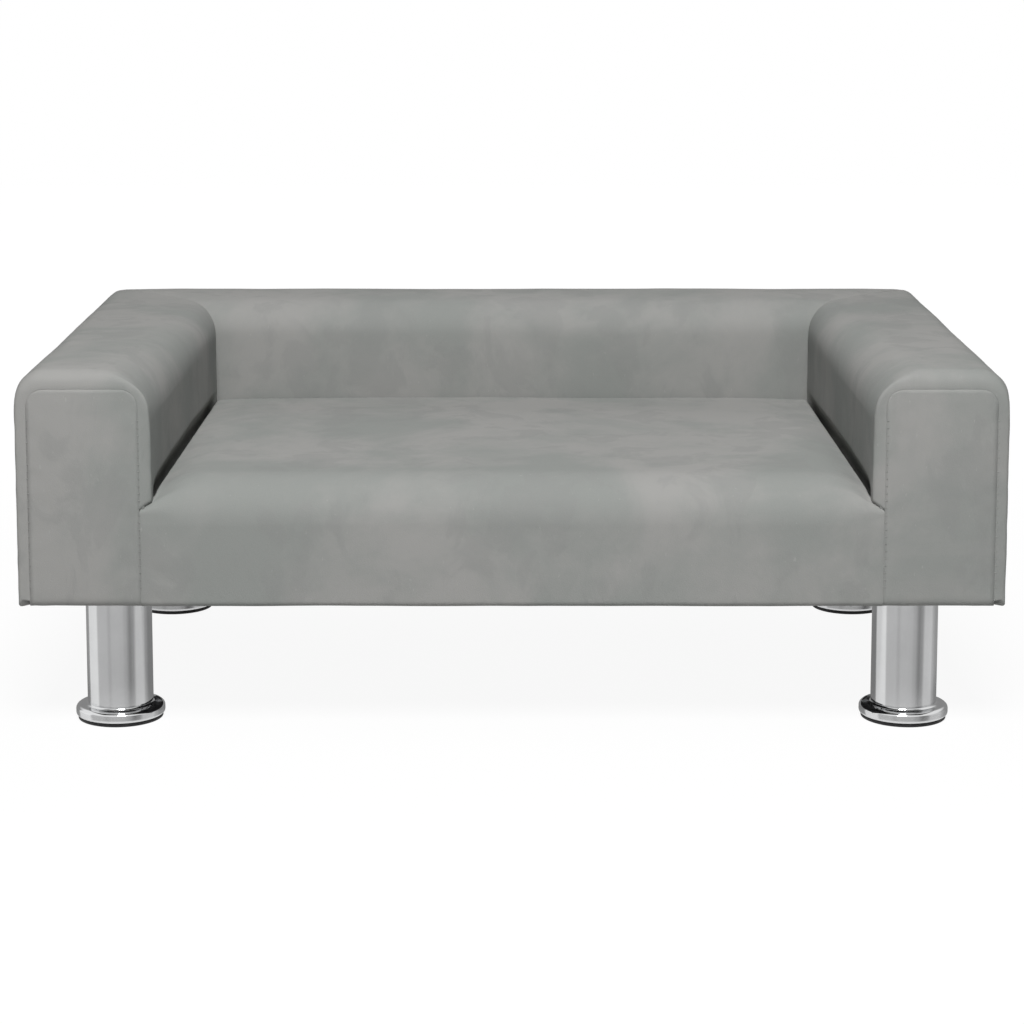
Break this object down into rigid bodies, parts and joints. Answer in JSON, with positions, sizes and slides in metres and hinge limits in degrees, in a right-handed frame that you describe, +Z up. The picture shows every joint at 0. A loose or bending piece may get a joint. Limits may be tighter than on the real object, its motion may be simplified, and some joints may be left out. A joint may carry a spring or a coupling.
{
  "type": "dog sofa bed",
  "caption": "Small upholstered sofa bed for a dog, with box arms, a low mitred back, a rolled seat and apron, and chrome legs with levelling feet.",
  "frame": {"origin": "middle of the sofa's outline on the floor, midway between the two arms and between the front and the rear", "axes": "+X from the left arm to the right arm as seen from the front, +Y from the seat's front edge to the back, +Z up"},
  "size_m": [0.7, 0.45, 0.265],
  "materials": {
    "velvet": "matte",
    "foam": "matte",
    "wadding": "matte",
    "plywood": "matte",
    "softwood": "matte",
    "dust_cloth": "matte",
    "steel": "satin",
    "chrome": "polished",
    "black_plastic": "matte"
  },
  "bodies": {
    "sofa": {"base_board": "plywood", "dust_cover": "dust_cloth", "frame_screws": "steel", "leg_screws": "steel", "seat_rail": "softwood", "seat_battens": "softwood", "seat_deck": "plywood", "seat_foam": "foam", "seat_cover": "velvet", "left_arm_outer_panel": "plywood", "left_arm_inner_panel": "plywood", "left_arm_front_panel": "plywood", "left_arm_top_board": "plywood", "left_arm_foam": "foam", "left_arm_front_foam": "foam", "left_arm_cover": "velvet", "left_arm_front_cover": "velvet", "right_arm_outer_panel": "plywood", "right_arm_inner_panel": "plywood", "right_arm_front_panel": "plywood", "right_arm_top_board": "plywood", "right_arm_foam": "foam", "right_arm_front_foam": "foam", "right_arm_cover": "velvet", "right_arm_front_cover": "velvet", "back_front_panel": "plywood", "back_rear_panel": "plywood", "back_top_board": "plywood", "back_foam": "foam", "back_cover": "velvet", "rear_wadding": "wadding", "rear_cover": "velvet", "front_left_leg_plate": "steel", "front_left_leg_tube": "chrome", "front_left_leg_plug": "black_plastic", "front_right_leg_plate": "steel", "front_right_leg_tube": "chrome", "front_right_leg_plug": "black_plastic", "rear_left_leg_plate": "steel", "rear_left_leg_tube": "chrome", "rear_left_leg_plug": "black_plastic", "rear_right_leg_plate": "steel", "rear_right_leg_tube": "chrome", "rear_right_leg_plug": "black_plastic"},
    "front_left_pad": {"front_left_foot_pad": "black_plastic"},
    "front_left_foot": {"front_left_foot_flange": "chrome", "front_left_foot_stud": "steel"},
    "front_right_pad": {"front_right_foot_pad": "black_plastic"},
    "front_right_foot": {"front_right_foot_flange": "chrome", "front_right_foot_stud": "steel"},
    "rear_left_pad": {"rear_left_foot_pad": "black_plastic"},
    "rear_left_foot": {"rear_left_foot_flange": "chrome", "rear_left_foot_stud": "steel"},
    "rear_right_pad": {"rear_right_foot_pad": "black_plastic"},
    "rear_right_foot": {"rear_right_foot_flange": "chrome", "rear_right_foot_stud": "steel"}
  },
  "joints": [
    {"name": "front_left_foot_lift", "type": "slide", "parent": "sofa", "child": "front_left_pad", "axis": [0, 0, -1], "range_m": [0, 0.015]},
    {"name": "front_left_foot_turn", "type": "hinge", "parent": "front_left_pad", "child": "front_left_foot", "pos_m": [-0.288, -0.163, 0.012], "axis": [0, 0, -1], "range_deg": [0, 3600]},
    {"name": "front_right_foot_lift", "type": "slide", "parent": "sofa", "child": "front_right_pad", "axis": [0, 0, -1], "range_m": [0, 0.015]},
    {"name": "front_right_foot_turn", "type": "hinge", "parent": "front_right_pad", "child": "front_right_foot", "pos_m": [0.288, -0.163, 0.012], "axis": [0, 0, -1], "range_deg": [0, 3600]},
    {"name": "rear_left_foot_lift", "type": "slide", "parent": "sofa", "child": "rear_left_pad", "axis": [0, 0, -1], "range_m": [0, 0.015]},
    {"name": "rear_left_foot_turn", "type": "hinge", "parent": "rear_left_pad", "child": "rear_left_foot", "pos_m": [-0.288, 0.163, 0.012], "axis": [0, 0, -1], "range_deg": [0, 3600]},
    {"name": "rear_right_foot_lift", "type": "slide", "parent": "sofa", "child": "rear_right_pad", "axis": [0, 0, -1], "range_m": [0, 0.015]},
    {"name": "rear_right_foot_turn", "type": "hinge", "parent": "rear_right_pad", "child": "rear_right_foot", "pos_m": [0.288, 0.163, 0.012], "axis": [0, 0, -1], "range_deg": [0, 3600]}
  ],
  "couplings": [
    {"joint": "front_left_foot_lift", "follows": "front_left_foot_turn", "m_per_rad": 0.00023873},
    {"joint": "front_right_foot_lift", "follows": "front_right_foot_turn", "m_per_rad": 0.00023873},
    {"joint": "rear_left_foot_lift", "follows": "rear_left_foot_turn", "m_per_rad": 0.00023873},
    {"joint": "rear_right_foot_lift", "follows": "rear_right_foot_turn", "m_per_rad": 0.00023873}
  ]
}
